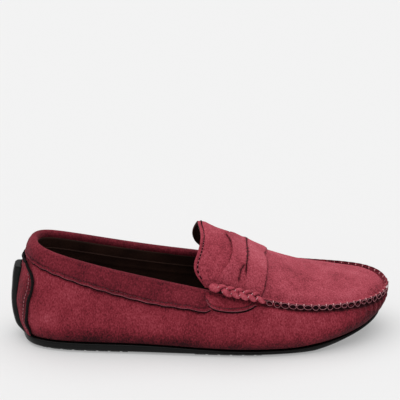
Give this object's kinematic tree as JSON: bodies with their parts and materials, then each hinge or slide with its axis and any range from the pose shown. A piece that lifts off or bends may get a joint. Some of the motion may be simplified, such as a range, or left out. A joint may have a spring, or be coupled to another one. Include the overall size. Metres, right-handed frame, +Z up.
{
  "type": "penny loafer",
  "caption": "Right-foot penny loafer in driving-shoe style: suede moccasin upper, slotted saddle strap, rolled trims, padded collar, rubber sole and heel guard.",
  "frame": {"origin": "centre of the shoe's outline on the ground", "axes": "+X heel to toe, +Y to the inner (medial) side, +Z up from the ground"},
  "size_m": [0.289, 0.1004, 0.0875],
  "materials": {
    "suede": "brushed calf suede, burgundy, matt with a short nap",
    "suede_light": "burgundy suede, nap lifted, a little lighter and pinker on top",
    "rubber": "black moulded rubber, satin",
    "lining": "very dark brown lining leather, smooth",
    "foam": "grey polyurethane foam",
    "board": "cellulose insole board",
    "stiffener": "pressed leather-board stiffener",
    "thread": "waxed polyester thread, rose"
  },
  "bodies": {
    "root": {"outsole": "rubber", "tread_plates": "rubber", "heel_guard": "rubber", "insole_board": "board", "footbed_foam": "foam", "sock_lining": "lining", "moccasin_wrap": "suede", "apron": "suede_light", "tongue": "suede_light", "tongue_lining": "lining", "apron_lining": "lining", "toe_side_lining": "lining", "quarter_lining": "lining", "heel_counter": "stiffener", "collar_foam": "foam", "collar_band": "suede", "heel_patch": "suede", "saddle_strap": "suede_light", "strap_lobe_lateral": "suede", "strap_lobe_medial": "suede", "beef_roll_lateral": "suede_light", "beef_roll_medial": "suede_light", "apron_seam_thread": "thread", "collar_thread": "thread", "tongue_thread": "thread", "slot_thread": "thread", "lobe_thread": "thread", "heel_patch_thread": "thread"}
  },
  "joints": []
}
